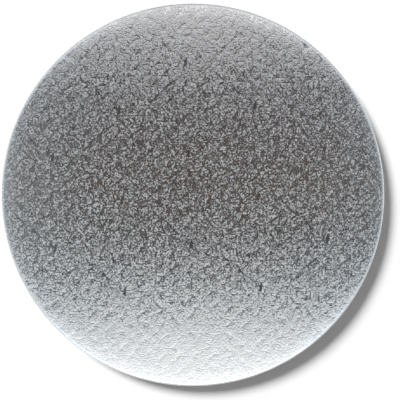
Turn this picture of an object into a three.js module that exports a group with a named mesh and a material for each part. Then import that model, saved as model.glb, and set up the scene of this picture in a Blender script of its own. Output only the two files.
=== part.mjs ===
// A round cake board: one bonded disc of dense fibreboard, wrapped in embossed
// foil paper that is gathered over the edge and turned under, with a plain paper
// disc glued over the turned margin. Millimetres, +Z up, origin at the middle of
// the underside.
import * as THREE from 'three';

// Driving dimensions
const BOARD_DIAMETER = 254;
const BOARD_THICKNESS = 12;
const TOP_EDGE_RADIUS = 1.5;
const BOTTOM_EDGE_RADIUS = 1.2;

// The top rolls off gently over this width on its way to the edge
const SHOULDER_WIDTH = 6.5;
const SHOULDER_DROP = 0.35;

// The backing paper stops short of the rim and stands proud of the foil margin
const PAPER_INSET = 6;
const PAPER_STEP = 0.3;

// The foil laps over itself in shallow pleats where it is gathered round the
// edge: they are faint on the top edge and fully open lower down
const PLEAT_COUNT = 72;
const PLEAT_DEPTH = 0.28;
const PLEAT_SHARE_ON_TOP_EDGE = 0.4;

// Flats for each pleat and along each curved stretch of the section
const STEPS_PER_PLEAT = 3;
const SHOULDER_STEPS = 3;
const TOP_EDGE_STEPS = 3;
const BOTTOM_EDGE_STEPS = 2;

const boardRadius = BOARD_DIAMETER / 2;
const paperRadius = boardRadius - PAPER_INSET;
const rimHeight = BOARD_THICKNESS - SHOULDER_DROP;

// The two edge radii together leave at least a tenth of the side upright
const LARGEST_ROUNDED_SHARE = 0.9;
const roundedHeight = TOP_EDGE_RADIUS + BOTTOM_EDGE_RADIUS;
const roundingLimit = (LARGEST_ROUNDED_SHARE * (rimHeight - PAPER_STEP)) / roundedHeight;
const topEdgeRadius = TOP_EDGE_RADIUS * Math.min(1, roundingLimit);
const bottomEdgeRadius = BOTTOM_EDGE_RADIUS * Math.min(1, roundingLimit);

// The ways that the section faces, as radius and height
const UP = new THREE.Vector2(0, 1);
const DOWN = new THREE.Vector2(0, -1);
const OUTWARD = new THREE.Vector2(1, 0);

// One point of the section: its radius and height, the way that it faces, and
// how far the pleats are open there, from 0 to 1
function sectionPoint(radius, height, facing, pleat) {
  return { radius, height, facing, pleat };
}

// The roll-off: level where it leaves the flat top, and a parabola from there
function shoulderPoints() {
  const points = [];
  for (let step = 0; step <= SHOULDER_STEPS; step += 1) {
    const along = step / SHOULDER_STEPS;
    const radius = boardRadius - SHOULDER_WIDTH + along * (SHOULDER_WIDTH - topEdgeRadius);
    const height = BOARD_THICKNESS - SHOULDER_DROP * along ** 2;
    points.push(sectionPoint(radius, height, UP, 0));
  }
  return points;
}

// An arc of the section about a centre, after its first point, with the angle
// and the share of the pleats each running from one value to another
function edgePoints(centre, edgeRadius, angle, pleat, steps) {
  const points = [];
  for (let step = 1; step <= steps; step += 1) {
    const along = step / steps;
    const turn = THREE.MathUtils.lerp(angle.from, angle.to, along);
    const facing = new THREE.Vector2(Math.cos(turn), Math.sin(turn));
    points.push(sectionPoint(
      centre.radius + edgeRadius * facing.x,
      centre.height + edgeRadius * facing.y,
      facing,
      THREE.MathUtils.lerp(pleat.from, pleat.to, along),
    ));
  }
  return points;
}

// The top edge, from facing up to facing outward
function topEdgePoints() {
  const centre = { radius: boardRadius - topEdgeRadius, height: rimHeight - topEdgeRadius };
  const angle = { from: Math.PI / 2, to: 0 };
  const pleat = { from: 0, to: PLEAT_SHARE_ON_TOP_EDGE };
  return edgePoints(centre, topEdgeRadius, angle, pleat, TOP_EDGE_STEPS);
}

// The upright side's foot and the bottom edge, from facing outward to facing down
function bottomEdgePoints() {
  const centre = { radius: boardRadius - bottomEdgeRadius, height: PAPER_STEP + bottomEdgeRadius };
  const angle = { from: 0, to: -Math.PI / 2 };
  const pleat = { from: 1, to: 1 };
  return [
    sectionPoint(boardRadius, centre.height, OUTWARD, 1),
    ...edgePoints(centre, bottomEdgeRadius, angle, pleat, BOTTOM_EDGE_STEPS),
  ];
}

// The whole section, from the middle of the underside out over the turned
// margin, up the side and back to the middle of the top. It starts and ends on
// the axis.
function boardSection() {
  const fromTheTopDown = [
    sectionPoint(0, BOARD_THICKNESS, UP, 0),
    ...shoulderPoints(),
    ...topEdgePoints(),
    ...bottomEdgePoints(),
    sectionPoint(paperRadius, PAPER_STEP, DOWN, 1),
    sectionPoint(paperRadius, 0, DOWN, 0),
    sectionPoint(0, 0, DOWN, 0),
  ];
  return fromTheTopDown.reverse();
}

// How far the foil lies below its pleats' crests at one step of the turn, from
// 0 to 1: it falls away slowly and comes back in one step, as a fold that is
// laid over to one side does
function pleatFall(turnStep) {
  return (turnStep % STEPS_PER_PLEAT) / (STEPS_PER_PLEAT - 1);
}

// The section turned round the upright axis, with each of its points sunk
// against the way that it faces by the pleats
function boardGeometry() {
  const section = boardSection();
  const outline = section.map((point) => new THREE.Vector2(point.radius, point.height));
  const turnSteps = PLEAT_COUNT * STEPS_PER_PLEAT;
  const geometry = new THREE.LatheGeometry(outline, turnSteps);

  const position = geometry.getAttribute('position');
  for (let index = 0; index < position.count; index += 1) {
    const point = section[index % section.length];
    const turnStep = Math.floor(index / section.length);
    const turn = (turnStep / turnSteps) * Math.PI * 2;
    const sink = PLEAT_DEPTH * point.pleat * pleatFall(turnStep);
    const radius = point.radius - sink * point.facing.x;
    const height = point.height - sink * point.facing.y;
    position.setXYZ(index, radius * Math.sin(turn), -radius * Math.cos(turn), height);
  }
  geometry.computeVertexNormals();
  return geometry;
}

const silverFoil = new THREE.MeshStandardMaterial({
  name: 'silver_foil',
  color: new THREE.Color(0.78, 0.79, 0.8),
  metalness: 1,
  roughness: 0.3,
});

const cakeBoard = new THREE.Mesh(boardGeometry(), silverFoil);
cakeBoard.name = 'cake_board';

const part = new THREE.Group();
part.add(cakeBoard);

export default part;
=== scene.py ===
"""A round cake board covered in embossed silver foil paper, seen from straight above on a white ground.

Lengths are metres, unless a name ends in _MM. The emboss is worked out in millimetres on the flat sheet. The
board lies on the ground with its axis along +Z.
"""
import math

import bpy
import numpy as np
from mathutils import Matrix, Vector


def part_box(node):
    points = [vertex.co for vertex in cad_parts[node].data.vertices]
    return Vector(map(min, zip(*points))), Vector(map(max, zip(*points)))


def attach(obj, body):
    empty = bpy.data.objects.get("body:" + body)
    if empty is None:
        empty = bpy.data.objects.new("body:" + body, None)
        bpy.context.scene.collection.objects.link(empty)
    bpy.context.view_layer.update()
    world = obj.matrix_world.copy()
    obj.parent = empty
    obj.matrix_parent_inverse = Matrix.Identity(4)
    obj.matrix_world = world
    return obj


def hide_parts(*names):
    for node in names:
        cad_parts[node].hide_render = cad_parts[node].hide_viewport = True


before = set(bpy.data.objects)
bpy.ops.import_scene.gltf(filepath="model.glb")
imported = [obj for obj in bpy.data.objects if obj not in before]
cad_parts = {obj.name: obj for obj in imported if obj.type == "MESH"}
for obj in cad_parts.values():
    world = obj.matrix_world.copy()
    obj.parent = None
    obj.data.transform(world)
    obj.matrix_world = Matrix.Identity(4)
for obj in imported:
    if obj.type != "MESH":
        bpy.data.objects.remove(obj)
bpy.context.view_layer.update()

MM = 0.001
FULL_TURN = 2 * math.pi

# The covered board: the solid's radius and thickness, and the section of the foil round its edge
BOARD_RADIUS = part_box("cake_board")[1].x
BOARD_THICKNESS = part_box("cake_board")[1].z
SHOULDER_LENGTH = 9.0 * MM
SHOULDER_SLOPE = 0.030
TOP_EDGE_RADIUS = 1.5 * MM
BOTTOM_EDGE_RADIUS = 1.2 * MM
PAPER_INSET = 6.0 * MM
PAPER_THICKNESS = 0.3 * MM
MARGIN_WIDTH = 14.0 * MM

# The mesh of the foil sheet: rings over the top, then rings over each stretch of the edge
TOP_RINGS = 126
COLUMNS = 8 * TOP_RINGS
SHOULDER_RINGS = 8
EDGE_RINGS = (5, 8, 4, 7)
SECTION_SAMPLES = 20001

# The pleats of the gathered foil: each one climbs slowly, drops at its lap and has its own share of the depth
PLEAT_COUNT = 72
PLEAT_DEPTH = 0.26 * MM
PLEAT_LEAST_SHARE = 0.45
PLEAT_CLIMB_END = 0.90
PLEAT_DROP_START = 0.93
PLEAT_SEED = 7
COLUMNS_PER_PLEAT = COLUMNS // PLEAT_COUNT

# The creases near the rim: the ranges of their reach inwards, half width, depth and lean
CREASE_COUNT = 70
CREASE_REACH_MM = (5.0, 15.0)
CREASE_WIDTH_MM = (0.9, 2.4)
CREASE_DEPTH_MM = (0.01, 0.05)
CREASE_LEAN = (-0.5, 0.5)
CREASE_SEED = 11

# The emboss: its half-drop repeat, how it is turned on the board and the height of its domed leaves
REPEAT_WIDTH_MM = 90.0
REPEAT_HEIGHT_MM = 60.0
EMBOSS_TURN = math.radians(1.8)
DOME_HEIGHT_MM = 0.024

# The flat sheet's span on its own map, and the map's own place for the disc that closes the cover
SHEET_SPAN_MM = 320.0
SHEET_MAP = "OFBake"
CLOSING_MAP_CENTRE = 0.045
CLOSING_MAP_RADIUS = 0.03

# The photograph's frame, in pixels, and the board's outline in it
PICTURE_SIZE = 400
OUTLINE_CENTRE = (192.9, 194.7)
OUTLINE_DIAMETER = 382.6
CAMERA_HEIGHT = 0.45
SENSOR_WIDTH_MM = 36.0


class Wire:
    """A number that varies over a surface, carried by one socket of a shader's nodes."""

    def __init__(self, socket):
        self.socket = socket

    def __add__(self, other):
        return reckon("ADD", self, other)

    def __sub__(self, other):
        return reckon("SUBTRACT", self, other)

    def __rsub__(self, other):
        return reckon("SUBTRACT", other, self)

    def __mul__(self, other):
        return reckon("MULTIPLY", self, other)

    def __truediv__(self, other):
        return reckon("DIVIDE", self, other)


# What the shared operations do to plain arrays, so that one formula shapes the mesh and its shader
ARRAY_FORMS = {
    "FLOOR": np.floor,
    "FRACT": lambda value: value - np.floor(value),
    "FLOORED_MODULO": np.mod,
    "ABSOLUTE": np.abs,
    "SINE": np.sin,
    "COSINE": np.cos,
}


def plug(value, socket):
    """Feeds a socket from a wire, or sets it to a plain number."""
    if isinstance(value, Wire):
        value.socket.id_data.links.new(value.socket, socket)
    else:
        socket.default_value = value


def reckon(operation, *values):
    """One operation on arrays, or a Math node where any of the values is a wire."""
    wires = [value for value in values if isinstance(value, Wire)]
    if not wires:
        return ARRAY_FORMS[operation](*values)
    node = wires[0].socket.id_data.nodes.new("ShaderNodeMath")
    node.operation = operation
    for value, socket in zip(values, node.inputs):
        plug(value, socket)
    return Wire(node.outputs[0])


def rise(value, start, end):
    """A smooth rise from 0 at start to 1 at end: three times the square less twice the cube."""
    if isinstance(value, Wire):
        node = value.socket.id_data.nodes.new("ShaderNodeMapRange")
        node.interpolation_type = "SMOOTHSTEP"
        plug(value, node.inputs["Value"])
        node.inputs["From Min"].default_value = start
        node.inputs["From Max"].default_value = end
        return Wire(node.outputs["Result"])
    share = np.clip((value - start) / (end - start), 0, 1)
    return share * share * (3 - 2 * share)


def mixed(share, first, second):
    """A colour that runs from first to second as the wire share goes from 0 to 1."""
    node = share.socket.id_data.nodes.new("ShaderNodeMix")
    node.data_type = "RGBA"
    plug(share, node.inputs[0])
    for value, socket in ((first, node.inputs[6]), (second, node.inputs[7])):
        plug(value, socket)
    return Wire(node.outputs[2])


def turned(across, along, angle):
    """The same point on axes turned by an angle."""
    cosine, sine = reckon("COSINE", angle), reckon("SINE", angle)
    return across * cosine + along * sine, along * cosine - across * sine


# Three large uneven factors that make the sine of a cell's number look random
SCATTER_COLUMN = 12.9898
SCATTER_ROW = 78.233
SCATTER_SPREAD = 437.585


def scatter_number(column, row, seed):
    """A number from 0 to 1 that looks random, the same for one cell of the repeat every time."""
    wave = reckon("SINE", column * SCATTER_COLUMN + row * SCATTER_ROW + seed)
    return reckon("FRACT", wave * SCATTER_SPREAD)


class Spray:
    """A set of leaves, one to each cell of a grid laid over the emboss's repeat."""

    def __init__(self, columns, rows, shift, length, width, ribs, seed):
        self.columns = columns
        self.rows = rows
        self.shift = shift
        self.length = length
        self.width = width
        self.ribs = ribs
        self.seed = seed


# Leaf half lengths and half widths are millimetres, and the angle from rib to rib is in radians
SPRAYS = (
    Spray(8, 6, (0.00, 0.00), 5.9, 3.6, 0.17, 0.3),
    Spray(8, 6, (0.50, 0.50), 5.9, 3.3, 0.17, 2.1),
    Spray(8, 6, (0.25, 0.40), 5.0, 2.9, 0.20, 4.4),
    Spray(10, 8, (0.60, 0.15), 3.7, 1.9, 0.22, 5.2),
)


class Pit:
    """A deep mark of the emboss between its leaves: an ellipse in the half-drop cell, in millimetres."""

    def __init__(self, across, along, turn, half_length, half_width):
        self.across = across
        self.along = along
        self.turn = math.radians(turn)
        self.half_length = half_length
        self.half_width = half_width


PITS = (
    Pit(43.0, -2.5, 82, 3.4, 1.15),
    Pit(21.5, 13.2, 20, 1.5, 1.00),
    Pit(29.7, 9.2, 110, 1.7, 1.05),
    Pit(-37.0, 0.8, 60, 1.3, 0.90),
    Pit(-9.0, -11.5, 95, 2.2, 0.85),
)


# A leaf's room in its cell and its bend, as shares of its half length, and how much its tip narrows
LEAF_ROOM = 0.9
LEAF_BEND = 0.9
LEAF_TAPER = 0.45
NUDGE_SEED = 1.7

# The ribs fan out from a point this many half lengths behind the leaf's middle
FAN_CENTRE = 1.3

# Where the dome, the leaf and its furrow start and end, in millimetres in from the leaf's outline
DOME_BORDER_MM = (-0.50, 1.20)
LEAF_BORDER_MM = (-0.50, 0.00)
FURROW_BORDER_MM = (0.05, 0.55)

# Where a pit is full, as a share of the fall from its edge to its middle
PIT_FLOOR = 0.7


def leaf_in_cell(across, along, spray):
    """How far a point of the sheet is inside the outline of its cell's leaf, and where it is on the leaf.

    The cell's number gives the leaf its turn, place and bend. Every second half of the repeat is the first
    one moved along by half a width. The leaf is a lens, wider towards its stalk, about a midrib that bends as
    a parabola.
    """
    cell_width = REPEAT_WIDTH_MM / spray.columns
    cell_height = REPEAT_HEIGHT_MM / spray.rows
    across = across / cell_width + spray.shift[0]
    along = along / cell_height + spray.shift[1]
    column, row = reckon("FLOOR", across), reckon("FLOOR", along)
    drop = reckon("FLOOR", (row + 0.5) * (2 / spray.rows))
    row_key = row - drop * (spray.rows / 2)
    column_key = column - drop * (spray.columns / 2) + 0.5
    column_key = reckon("FLOORED_MODULO", column_key, float(spray.columns)) - 0.5
    turn = scatter_number(column_key, row_key, spray.seed) * FULL_TURN
    nudge = scatter_number(column_key, row_key, spray.seed + NUDGE_SEED) - 0.5
    spare = 0.5 * cell_width - LEAF_ROOM * spray.length
    across = (across - column - 0.5) * cell_width + nudge * spare
    along = (along - row - 0.5) * cell_height - nudge * spare
    on_rib, off_rib = turned(across, along, turn)
    off_rib = off_rib - on_rib * on_rib * nudge * (LEAF_BEND / spray.length)
    share = on_rib / spray.length
    half_width = (1.0 - share * share) * (1.0 - share * LEAF_TAPER) * spray.width
    off_rib = reckon("ABSOLUTE", off_rib)
    return half_width - off_rib, on_rib, off_rib


def leafy_relief(across, along):
    """The broad relief of the emboss in millimetres: a low smooth dome on each leaf, over those before it."""
    across, along = turned(across, along, EMBOSS_TURN)
    height = across * 0.0
    for spray in SPRAYS:
        inside, _, _ = leaf_in_cell(across, along, spray)
        cover = rise(inside, *DOME_BORDER_MM)
        height = height * (1.0 - cover) + cover * DOME_HEIGHT_MM
    return height


def leafy_lines(across, along):
    """How far a place is on a ridge of the emboss, in a furrow and towards a leaf's tip, each from 0 to 1.

    A leaf's ribs fan out from behind its stalk as ridges, and a band just inside its outline is a furrow.
    Each leaf hides what lies under it.
    """
    across, along = turned(across, along, EMBOSS_TURN)
    ridge = across * 0.0
    furrow = across * 0.0
    tip = across * 0.0
    for spray in SPRAYS:
        inside, on_rib, off_rib = leaf_in_cell(across, along, spray)
        leaf = rise(inside, *LEAF_BORDER_MM)
        fan = reckon("ARCTAN2", off_rib, on_rib + spray.length * FAN_CENTRE)
        ribs = reckon("PINGPONG", fan, spray.ribs / 2) / (spray.ribs / 2)
        edge = 1.0 - rise(inside, *FURROW_BORDER_MM)
        ridge = ridge * (1.0 - leaf) + ribs * leaf
        furrow = furrow * (1.0 - leaf) + edge * leaf
        tip = tip * (1.0 - leaf) + (on_rib * (0.5 / spray.length) + 0.5) * leaf
    return ridge, furrow, tip


def deep_pits(across, along):
    """How far a place is down in one of the pits: from 0 at an ellipse's edge to 1 about its middle."""
    across, along = turned(across, along, EMBOSS_TURN)
    drop = REPEAT_HEIGHT_MM / 2
    row = reckon("FLOOR", along / drop + 0.5)
    along = along - row * drop
    half_repeat = REPEAT_WIDTH_MM / 2
    across = reckon("FLOORED_MODULO", across - row * half_repeat + half_repeat, REPEAT_WIDTH_MM)
    across = across - half_repeat
    depth = across * 0.0
    for pit in PITS:
        lengthwise, crosswise = turned(across - pit.across, along - pit.along, pit.turn)
        lengthwise, crosswise = lengthwise / pit.half_length, crosswise / pit.half_width
        inside = 1.0 - lengthwise * lengthwise - crosswise * crosswise
        depth = reckon("MAXIMUM", depth, rise(inside, 0.0, PIT_FLOOR))
    return depth


def sheet_section():
    """The foil's path from the middle of the top to the edge of its turned margin.

    Its fall is an angle that grows evenly along each stretch: none on the flat top, a little over the
    shoulder, to a quarter turn over the top edge and to a half turn over the bottom edge. Its radius and
    height are the sums of the angle's cosine and sine along the way. Returns the distances where stretches
    end, and dense arrays of distance, radius, height and fall.
    """
    edge_turn = math.pi / 2 - SHOULDER_SLOPE
    shoulder_advance = SHOULDER_LENGTH * math.sin(SHOULDER_SLOPE) / SHOULDER_SLOPE
    shoulder_drop = SHOULDER_LENGTH * (1 - math.cos(SHOULDER_SLOPE)) / SHOULDER_SLOPE
    edge_advance = TOP_EDGE_RADIUS * (1 - math.sin(SHOULDER_SLOPE))
    edge_drop = TOP_EDGE_RADIUS * math.cos(SHOULDER_SLOPE)
    flat = BOARD_RADIUS - shoulder_advance - edge_advance
    side = BOARD_THICKNESS - PAPER_THICKNESS - shoulder_drop - edge_drop - BOTTOM_EDGE_RADIUS
    top_edge, bottom_edge = TOP_EDGE_RADIUS * edge_turn, BOTTOM_EDGE_RADIUS * math.pi / 2
    ends = np.cumsum([0.0, flat, SHOULDER_LENGTH, top_edge, side, bottom_edge, MARGIN_WIDTH])
    falls = [0.0, 0.0, SHOULDER_SLOPE, math.pi / 2, math.pi / 2, math.pi, math.pi]
    distance = np.linspace(0, ends[-1], SECTION_SAMPLES)
    fall = np.interp(distance, ends, falls)
    middle = (fall[1:] + fall[:-1]) / 2
    step = np.diff(distance)
    radius = np.concatenate([[0], np.cumsum(np.cos(middle) * step)])
    height = BOARD_THICKNESS - np.concatenate([[0], np.cumsum(np.sin(middle) * step)])
    return ends, distance, radius, height, fall


def top_grid(ring_distance):
    """A square grid pressed into a disc: square rings become circles, evenly stepped round each one.

    Returns the distance from the middle, the angle and the ring of each grid point, and the grid's quads.
    """
    steps = np.arange(-TOP_RINGS, TOP_RINGS + 1)
    x, y = np.meshgrid(steps, steps, indexing="ij")
    ring = np.maximum(np.abs(x), np.abs(y))
    side = np.abs(x) >= np.abs(y)
    safe_x, safe_y = np.where(x == 0, 1, x), np.where(y == 0, 1, y)
    angle = np.where(side, math.pi / 4 * y / safe_x, math.pi / 2 - math.pi / 4 * x / safe_y)
    angle = angle + np.where(side, x < 0, y < 0) * math.pi
    number = np.arange(x.size).reshape(x.shape)
    corners = [number[:-1, :-1], number[1:, :-1], number[1:, 1:], number[:-1, 1:]]
    quads = np.stack([corner.ravel() for corner in corners], axis=1)
    return ring_distance[ring.ravel()], angle.ravel() % FULL_TURN, ring.ravel(), quads


def rim_creases(angle, distance, ends):
    """How far the creases near the rim sink the top of the foil, in metres.

    Each runs in from the top edge towards the middle and dies out there. It is a bell curve across, and its
    depth rises smoothly towards the edge.
    """
    draw = np.random.default_rng(CREASE_SEED)
    sink = np.zeros_like(distance)
    for _ in range(CREASE_COUNT):
        place = draw.uniform(0, FULL_TURN)
        reach = draw.uniform(*CREASE_REACH_MM) * MM
        width = draw.uniform(*CREASE_WIDTH_MM) * MM
        depth = draw.uniform(*CREASE_DEPTH_MM) * MM
        lean = draw.uniform(*CREASE_LEAN)
        inward = ends[2] - distance
        aside = ((angle - place + math.pi) % FULL_TURN - math.pi) * distance - lean * inward
        sink += depth * np.exp(-(aside / width) ** 2) * rise(-inward, -reach, 0.0)
    return sink


def pleat_lift(angle, distance, ends):
    """How far the pleats raise the foil at a place on the sheet, along its outward direction.

    A pleat climbs smoothly round the board and drops at its lap. It opens from nothing at the top edge to its
    full depth at the foot of the side, and every pleat has its own depth.
    """
    number = angle / FULL_TURN * PLEAT_COUNT
    share = number - np.floor(number)
    depth = np.random.default_rng(PLEAT_SEED).uniform(PLEAT_LEAST_SHARE, 1.0, PLEAT_COUNT)
    own_depth = depth[np.floor(number).astype(int) % PLEAT_COUNT]
    opening = rise(distance, ends[2], ends[4])
    climb = rise(share, 0.0, PLEAT_CLIMB_END) * (1 - rise(share, PLEAT_DROP_START, 1.0))
    return (climb * own_depth - 1.0) * opening * PLEAT_DEPTH


def foil_cover():
    """The foil sheet, wrapped over the board as one closed surface with its own flat map."""
    ends, distance, radius, height, fall = sheet_section()
    inner_rings = TOP_RINGS - SHOULDER_RINGS
    ring_distance = np.concatenate([
        np.linspace(0, ends[1], inner_rings + 1),
        np.linspace(ends[1], ends[2], SHOULDER_RINGS + 1)[1:],
    ])
    edge_distance = np.concatenate([
        np.linspace(ends[2 + part], ends[3 + part], count + 1)[1:]
        for part, count in enumerate(EDGE_RINGS)
    ])
    top_distance, top_angle, ring, top_quads = top_grid(ring_distance)
    column_angle = np.arange(COLUMNS) / COLUMNS * FULL_TURN
    strip_distance = np.repeat(edge_distance, COLUMNS)
    strip_angle = np.tile(column_angle, len(edge_distance))

    rim = np.flatnonzero(ring == TOP_RINGS)
    rim_in_turn = rim[np.argsort(top_angle[rim])]
    rows = [rim_in_turn] + [
        len(top_distance) + np.arange(COLUMNS) + number * COLUMNS for number in range(len(edge_distance))
    ]
    strips = []
    for upper, lower in zip(rows[:-1], rows[1:]):
        strips.append(np.stack([upper, lower, np.roll(lower, -1), np.roll(upper, -1)], axis=1))
    strip_quads = np.concatenate(strips)

    all_distance = np.concatenate([top_distance, strip_distance])
    all_angle = np.concatenate([top_angle, strip_angle])
    r = np.interp(all_distance, distance, radius)
    z = np.interp(all_distance, distance, height)
    facing = np.interp(all_distance, distance, fall)

    sheet_x = all_distance * np.cos(all_angle) / MM
    sheet_y = all_distance * np.sin(all_angle) / MM
    lift = (leafy_relief(sheet_x, sheet_y) - DOME_HEIGHT_MM) * MM
    lift = lift * (1 - rise(all_distance, ends[4], ends[5]))
    lift = lift + pleat_lift(all_angle, all_distance, ends)
    lift = lift - rim_creases(all_angle, all_distance, ends) * (1 - rise(all_distance, ends[2], ends[3]))
    r = r + lift * np.sin(facing)
    z = z + lift * np.cos(facing)
    points = np.stack([r * np.cos(all_angle), r * np.sin(all_angle), z], axis=1)

    # The underside of the board's core closes the surface, behind the backing paper
    middle = len(points)
    points = np.vstack([points, [0, 0, PAPER_THICKNESS]])
    last = rows[-1]
    closing = np.stack([last, np.full(COLUMNS, middle), np.roll(last, -1)], axis=1)

    strip_map = pleated_map(strip_quads, len(edge_distance), all_distance, all_angle, distance, radius)
    top_map = np.stack([sheet_x, sheet_y], axis=1)[top_quads] * MM
    sheet_map = np.concatenate([top_map.reshape(-1, 2), strip_map.reshape(-1, 2)])
    sheet_map = sheet_map / (SHEET_SPAN_MM * MM) + 0.5
    whole_map = np.vstack([sheet_map, closing_disc_map(column_angle)])
    return points, np.concatenate([top_quads, strip_quads]), closing, whole_map


def pleated_map(quads, rows, all_distance, all_angle, distance, radius):
    """Where the corners of the edge's quads lie on the flat sheet, in metres from its middle.

    Each pleat keeps the sheet's true scale about its own middle, so the map has a gap where foil is folded
    under.
    """
    columns = np.tile(np.arange(COLUMNS), rows)
    pleat_middle = (columns // COLUMNS_PER_PLEAT + 0.5) / PLEAT_COUNT * FULL_TURN
    gap = (all_angle[quads] - pleat_middle[:, None] + math.pi) % FULL_TURN - math.pi
    reach = all_distance[quads]
    kept = np.interp(reach, distance, radius) / reach
    angle = pleat_middle[:, None] + gap * kept
    return np.stack([reach * np.cos(angle), reach * np.sin(angle)], axis=2)


def closing_disc_map(column_angle):
    """The map of the disc that closes the cover: a small circle in the corner of the sheet's own map."""
    angle = np.stack([column_angle, column_angle * 0, column_angle + FULL_TURN / COLUMNS], axis=1)
    reach = np.array([CLOSING_MAP_RADIUS, 0.0, CLOSING_MAP_RADIUS])
    across, along = CLOSING_MAP_CENTRE + reach * np.cos(angle), CLOSING_MAP_CENTRE + reach * np.sin(angle)
    return np.stack([across, along], axis=2).reshape(-1, 2)


def make_piece(name, points, quads, triangles, corner_map, material):
    """A mesh object from arrays of points, quads and triangles, with a map value for each face corner."""
    mesh = bpy.data.meshes.new(name)
    corners = np.concatenate([quads.ravel(), triangles.ravel()]).astype(np.int32)
    sizes = np.concatenate([np.full(len(quads), 4), np.full(len(triangles), 3)]).astype(np.int32)
    starts = np.concatenate([[0], np.cumsum(sizes)[:-1]]).astype(np.int32)
    mesh.vertices.add(len(points))
    mesh.vertices.foreach_set("co", points.astype(np.float32).ravel())
    mesh.loops.add(len(corners))
    mesh.loops.foreach_set("vertex_index", corners)
    mesh.polygons.add(len(sizes))
    mesh.polygons.foreach_set("loop_start", starts)
    mesh.polygons.foreach_set("use_smooth", np.ones(len(sizes), bool))
    mesh.update(calc_edges=True)
    mesh.validate()
    if corner_map is not None:
        layer = mesh.uv_layers.new(name=SHEET_MAP)
        layer.data.foreach_set("uv", corner_map.astype(np.float32).ravel())
    mesh.materials.append(material)
    piece = bpy.data.objects.new(name, mesh)
    bpy.context.scene.collection.objects.link(piece)
    return piece


def new_material(name):
    """A material on nodes, with its nodes and its links."""
    material = bpy.data.materials.new(name)
    material.use_nodes = True
    return material, material.node_tree.nodes, material.node_tree.links


# The heights of the material's bump and the sizes of its crackle
RIB_HEIGHT_MM = 0.006
EMBOSS_DEPTH_MM = 0.019
GRAIN_SIZE_MM = 1.15
FLAKE_SIZE_MM = 1.05

# What each part of the pattern adds to the crests of the emboss or takes from them
GRAIN_SHARE = 0.95
FLAKE_SHARE = 0.25
TIP_SHARE = 0.23
RIDGE_SHARE = 0.10
FURROW_SHARE = 0.32
PIT_SHARE = 0.6

# Where the crests start and end to be dulled and raised, and the finish and colour of the smoothest and
# dullest foil: the smooth foil's darker colour is painted shade in the hollows
CREST_DULL_AND_SHADE_RANGE = (0.38, 1.00)
RAISED_CRESTS = (0.40, 0.78)
SMOOTHEST = 0.10
ROUGHEST = 0.40
SMOOTH_SHADED_COLOUR = (0.83, 0.83, 0.83, 1)
DULL_UNSHADED_COLOUR = (0.93, 0.93, 0.93, 1)


def foil_material():
    """Bright silver foil paper.

    The emboss is a leafy pattern of ridges and furrows with a fine crackle all over. Its crests are dulled by
    the roller and its hollows stay bright and smooth, so the roughness follows the pattern as the bump does.
    The base colour is darker where the foil is smooth, as painted shade in the furrows, the pits and towards
    each leaf's stalk, and lighter on the dull crests, with random tone from the crackle.
    """
    material, nodes, links = new_material("silver_foil")
    shader = nodes["Principled BSDF"]
    shader.inputs["Metallic"].default_value = 1.0

    sheet = nodes.new("ShaderNodeUVMap")
    sheet.uv_map = SHEET_MAP
    split = nodes.new("ShaderNodeSeparateXYZ")
    links.new(sheet.outputs["UV"], split.inputs["Vector"])
    across = (Wire(split.outputs["X"]) - 0.5) * SHEET_SPAN_MM
    along = (Wire(split.outputs["Y"]) - 0.5) * SHEET_SPAN_MM
    ridge, furrow, tip = leafy_lines(across, along)
    pit = deep_pits(across, along)

    noise = nodes.new("ShaderNodeTexNoise")
    noise.noise_dimensions = "2D"
    noise.inputs["Scale"].default_value = SHEET_SPAN_MM / GRAIN_SIZE_MM
    noise.inputs["Detail"].default_value = 1.0
    links.new(sheet.outputs["UV"], noise.inputs["Vector"])
    grain = Wire(noise.outputs["Fac"])
    cells = nodes.new("ShaderNodeTexVoronoi")
    cells.voronoi_dimensions = "2D"
    cells.inputs["Scale"].default_value = SHEET_SPAN_MM / FLAKE_SIZE_MM
    links.new(sheet.outputs["UV"], cells.inputs["Vector"])
    flake_split = nodes.new("ShaderNodeSeparateXYZ")
    links.new(cells.outputs["Color"], flake_split.inputs["Vector"])
    flake = Wire(flake_split.outputs["X"])

    crest = grain * GRAIN_SHARE + flake * FLAKE_SHARE + tip * TIP_SHARE
    crest = crest + ridge * RIDGE_SHARE - furrow * FURROW_SHARE - pit * PIT_SHARE
    # One share sets both the dulling of the crests and the colour. It gives painted shade, darker on smooth
    # foil in the furrows, pits and towards each leaf's stalk, with random tone from the crackle.
    dull_and_shade = rise(crest, *CREST_DULL_AND_SHADE_RANGE)
    plug(dull_and_shade * dull_and_shade * (ROUGHEST - SMOOTHEST) + SMOOTHEST, shader.inputs["Roughness"])
    plug(mixed(dull_and_shade, SMOOTH_SHADED_COLOUR, DULL_UNSHADED_COLOUR), shader.inputs["Base Color"])

    height = rise(crest, *RAISED_CRESTS) * EMBOSS_DEPTH_MM + ridge * RIB_HEIGHT_MM
    bump = nodes.new("ShaderNodeBump")
    bump.inputs["Distance"].default_value = MM
    plug(height, bump.inputs["Height"])
    links.new(bump.outputs["Normal"], shader.inputs["Normal"])
    return material


# The mesh of the backing paper: its columns, its inner rings as shares of its radius, and its border's points
PAPER_COLUMNS = 288
PAPER_RINGS = (0.25, 0.50, 0.75)
PAPER_BORDER_POINTS = 7


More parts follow.
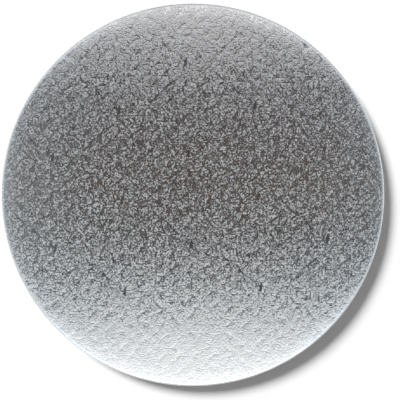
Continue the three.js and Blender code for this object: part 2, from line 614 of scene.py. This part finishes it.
def backing_paper():
    """A thin paper disc glued over the turned margin, with a softly rounded border.

    Its rings run from near the middle of the underside, out round the border and a little way back on its
    upper side. A fan closes it at the middle of each side.
    """
    outline = BOARD_RADIUS - PAPER_INSET
    rounding = PAPER_THICKNESS / 2
    turns = np.linspace(math.pi / 2, -math.pi / 2, PAPER_BORDER_POINTS)
    inner = [outline * share for share in PAPER_RINGS]
    radius = np.concatenate([inner, outline - rounding + rounding * np.cos(turns), inner[-1:]])
    height = np.concatenate([[0.0] * len(inner), rounding - rounding * np.sin(turns), [PAPER_THICKNESS]])
    angle = np.arange(PAPER_COLUMNS) / PAPER_COLUMNS * FULL_TURN
    across = radius[:, None] * np.cos(angle)
    along = radius[:, None] * np.sin(angle)
    upward = np.repeat(height[:, None], PAPER_COLUMNS, axis=1)
    rings = np.stack([across, along, upward], axis=2).reshape(-1, 3)
    points = np.vstack([rings, [0, 0, 0], [0, 0, PAPER_THICKNESS]])
    numbers = np.arange(len(rings)).reshape(len(radius), PAPER_COLUMNS)
    lower, upper = numbers[:-1], numbers[1:]
    quads = np.stack([lower, np.roll(lower, -1, axis=1), np.roll(upper, -1, axis=1), upper], axis=2)
    first, last = numbers[0], numbers[-1]
    base = np.stack([np.full(PAPER_COLUMNS, len(rings)), np.roll(first, -1), first], axis=1)
    back = np.stack([np.full(PAPER_COLUMNS, len(rings) + 1), last, np.roll(last, -1)], axis=1)
    return points, quads.reshape(-1, 4), np.concatenate([base, back])


# The backing paper's fibres: how fine and how high they are, and the two colours that they run between
FIBRE_SCALE = 900.0
FIBRE_DETAIL = 4.0
FIBRE_HEIGHT_MM = 0.03
FIBRE_COLOURS = ((0.3, (0.66, 0.65, 0.62, 1)), (0.7, (0.75, 0.74, 0.71, 1)))
PAPER_ROUGHNESS = 0.85


def paper_material():
    """Plain off-white paper with a faint fibre mottle."""
    material, nodes, links = new_material("backing_paper")
    shader = nodes["Principled BSDF"]
    shader.inputs["Roughness"].default_value = PAPER_ROUGHNESS
    place = nodes.new("ShaderNodeTexCoord")
    fibres = nodes.new("ShaderNodeTexNoise")
    fibres.inputs["Scale"].default_value = FIBRE_SCALE
    fibres.inputs["Detail"].default_value = FIBRE_DETAIL
    links.new(place.outputs["Object"], fibres.inputs["Vector"])
    ramp = nodes.new("ShaderNodeValToRGB")
    for element, (position, colour) in zip(ramp.color_ramp.elements, FIBRE_COLOURS):
        element.position = position
        element.color = colour
    links.new(fibres.outputs["Fac"], ramp.inputs["Fac"])
    links.new(ramp.outputs["Color"], shader.inputs["Base Color"])
    bump = nodes.new("ShaderNodeBump")
    bump.inputs["Distance"].default_value = FIBRE_HEIGHT_MM * MM
    links.new(fibres.outputs["Fac"], bump.inputs["Height"])
    links.new(bump.outputs["Normal"], shader.inputs["Normal"])
    return material


def camera():
    """A camera straight above, moved aside so that the board's outline falls where the photograph has it."""
    pixel = 2 * BOARD_RADIUS / OUTLINE_DIAMETER
    data = bpy.data.cameras.new("camera")
    data.sensor_width = SENSOR_WIDTH_MM
    data.lens = SENSOR_WIDTH_MM * CAMERA_HEIGHT / (PICTURE_SIZE * pixel)
    data.clip_start = 0.01
    view = bpy.data.objects.new("camera", data)
    right = (PICTURE_SIZE / 2 - OUTLINE_CENTRE[0]) * pixel
    down = (PICTURE_SIZE / 2 - OUTLINE_CENTRE[1]) * pixel
    view.location = (right, -down, CAMERA_HEIGHT + BOARD_THICKNESS - TOP_EDGE_RADIUS)
    bpy.context.scene.collection.objects.link(view)
    bpy.context.scene.camera = view


# What the foil sees, as red, green and blue levels, by how far the direction leans towards the top of the
# picture: a bright panel beyond the foot of the board, a dark ceiling above and a pale wall beyond its head
STUDIO_LEVELS = (
    (-1.00, (0.40, 0.40, 0.40)),
    (-0.74, (0.65, 0.65, 0.65)),
    (-0.63, (2.30, 2.30, 2.30)),
    (-0.47, (2.40, 2.40, 2.40)),
    (-0.37, (1.27, 1.28, 1.29)),
    (-0.225, (1.14, 1.15, 1.16)),
    (-0.20, (1.18, 1.20, 1.22)),
    (-0.184, (0.42, 0.46, 0.50)),
    (-0.165, (0.07, 0.10, 0.12)),
    (-0.13, (0.042, 0.056, 0.064)),
    (-0.06, (0.068, 0.060, 0.060)),
    (0.03, (0.100, 0.070, 0.046)),
    (0.09, (0.074, 0.061, 0.058)),
    (0.14, (0.064, 0.056, 0.060)),
    (0.19, (0.059, 0.055, 0.060)),
    (0.235, (0.10, 0.10, 0.10)),
    (0.28, (0.87, 0.85, 0.86)),
    (0.34, (1.21, 1.18, 1.19)),
    (0.40, (0.85, 0.85, 0.85)),
    (0.70, (0.55, 0.55, 0.55)),
    (1.00, (0.40, 0.40, 0.40)),
)

# The even levels to either side and at the horizon, and the shares of sideways lean over which they come in
LEFT_LEVEL = (0.60, 0.68, 0.74)
RIGHT_LEVEL = (0.48, 0.56, 0.62)
HORIZON_LEVEL = (0.60, 0.60, 0.60)
COOL_TINT = (0.95, 1.0, 1.03)
COOL_LEAN = (0.03, 0.20)
LEFT_LEAN = (0.15, 0.62)
RIGHT_LEAN = (0.17, 0.62)
HORIZON_LEAN = (0.62, 0.90)

# The ceiling's mottle, and where it comes in by the direction's height and its lean to the picture's top
MOTTLE_SCALE = 26.0
MOTTLE_DEPTH = 1.5
CEILING_HEIGHT = (0.90, 0.96)
CEILING_LEAN = (-0.20, -0.12)

# The even level for matt surfaces, and the lamp's tilt, breadth and energy
DIFFUSE_LEVEL = 0.23
KEY_OFF_ZENITH = math.radians(50)
KEY_BREADTH = math.radians(19)
KEY_ENERGY = 3.88

# The floor's half width and its level, a hair below the board's underside
FLOOR_REACH = 4.0
FLOOR_LEVEL = -0.02 * MM
FLOOR_COLOUR = (0.98, 0.98, 0.98, 1)


def opaque(levels, highest):
    """Red, green and blue levels as shares of the highest one, with full alpha."""
    return [level / highest for level in levels] + [1]


def surroundings():
    """The studio as the world.

    The camera sees white and matt surfaces see an even level. Glossy ones see a level that changes with the
    direction towards the top of the picture, and runs into an even one to either side. It is mottled near the
    zenith. What a matt surface sees by way of a glossy one is even too.
    """
    world = bpy.data.worlds.new("studio")
    world.use_nodes = True
    bpy.context.scene.world = world
    nodes, links = world.node_tree.nodes, world.node_tree.links
    background = nodes["Background"]
    direction = nodes.new("ShaderNodeTexCoord")
    split = nodes.new("ShaderNodeSeparateXYZ")
    links.new(direction.outputs["Generated"], split.inputs["Vector"])
    ramp = nodes.new("ShaderNodeValToRGB")
    elements = ramp.color_ramp.elements
    highest = max(max(colour) for _, colour in STUDIO_LEVELS)
    elements.remove(elements[1])
    for number, (towards_top, colour) in enumerate(STUDIO_LEVELS):
        position = 0.5 + 0.5 * towards_top
        element = elements[0] if number == 0 else elements.new(position)
        element.position = position
        element.color = opaque(colour, highest)
    plug(Wire(split.outputs["Y"]) * 0.5 + 0.5, ramp.inputs["Fac"])

    # Towards either side the levels turn cooler and run into one even pale level, and then into a neutral one
    sideways = Wire(split.outputs["X"])
    aside = reckon("ABSOLUTE", sideways)
    cooled = nodes.new("ShaderNodeVectorMath")
    cooled.operation = "MULTIPLY"
    plug(Wire(ramp.outputs["Color"]), cooled.inputs[0])
    cooled.inputs[1].default_value = COOL_TINT
    blended = mixed(rise(aside, *COOL_LEAN), Wire(ramp.outputs["Color"]), Wire(cooled.outputs["Vector"]))
    blended = mixed(rise(sideways * -1.0, *LEFT_LEAN), blended, opaque(LEFT_LEVEL, highest))
    blended = mixed(rise(sideways, *RIGHT_LEAN), blended, opaque(RIGHT_LEVEL, highest))
    blended = mixed(rise(aside, *HORIZON_LEAN), blended, opaque(HORIZON_LEVEL, highest))

    # The ceiling is mottled, and the mottle fades out towards the walls and the bright panel
    mottle = nodes.new("ShaderNodeTexNoise")
    mottle.inputs["Scale"].default_value = MOTTLE_SCALE
    mottle.inputs["Detail"].default_value = 1.0
    links.new(direction.outputs["Generated"], mottle.inputs["Vector"])
    ceiling = rise(Wire(split.outputs["Z"]), *CEILING_HEIGHT) * rise(Wire(split.outputs["Y"]), *CEILING_LEAN)
    wave = (Wire(mottle.outputs["Fac"]) - 0.5) * ceiling * (2.0 * MOTTLE_DEPTH) + 1.0
    lit = nodes.new("ShaderNodeVectorMath")
    lit.operation = "SCALE"
    plug(blended, lit.inputs[0])
    plug(wave * highest, lit.inputs["Scale"])

    ray = nodes.new("ShaderNodeLightPath")
    even = (DIFFUSE_LEVEL, DIFFUSE_LEVEL, DIFFUSE_LEVEL, 1)
    after_matt = reckon("MINIMUM", Wire(ray.outputs["Diffuse Depth"]), 1.0)
    mirrored = Wire(ray.outputs["Is Glossy Ray"]) * (1.0 - after_matt)
    colour = mixed(mirrored, even, Wire(lit.outputs["Vector"]))
    colour = mixed(Wire(ray.outputs["Is Camera Ray"]), colour, (1, 1, 1, 1))
    plug(colour, background.inputs["Color"])


def key_lamp():
    """A broad lamp, high on the upper left, that throws the board's soft shadow to the lower right."""
    data = bpy.data.lights.new("key", "SUN")
    data.angle = KEY_BREADTH
    data.energy = KEY_ENERGY
    lamp = bpy.data.objects.new("key", data)
    low = math.sin(KEY_OFF_ZENITH) / math.sqrt(2)
    lamp.rotation_euler = Vector((-low, low, math.cos(KEY_OFF_ZENITH))).to_track_quat("Z", "Y").to_euler()
    lamp.visible_glossy = False
    bpy.context.scene.collection.objects.link(lamp)


def ground():
    """A wide white floor that keeps the board's shadow and is as white as the background where it is lit."""
    material, nodes, _ = new_material("white_ground")
    shader = nodes["Principled BSDF"]
    shader.inputs["Base Color"].default_value = FLOOR_COLOUR
    shader.inputs["Roughness"].default_value = 1.0
    shader.inputs["Specular IOR Level"].default_value = 0.0
    corners = np.array([[-1, -1], [1, -1], [1, 1], [-1, 1]]) * FLOOR_REACH
    points = np.column_stack([corners, np.full(len(corners), FLOOR_LEVEL)])
    floor = make_piece("floor", points, np.array([[0, 1, 2, 3]]), np.zeros((0, 3), int), None, material)


camera()
points, quads, triangles, corner_map = foil_cover()
cover = make_piece("foil_cover", points, quads, triangles, corner_map, foil_material())
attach(cover, "root")
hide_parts("cake_board")

points, quads, triangles = backing_paper()
paper = make_piece("backing_paper", points, quads, triangles, None, paper_material())
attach(paper, "root")

surroundings()
key_lamp()
ground()
bpy.context.scene.view_settings.view_transform = "Standard"
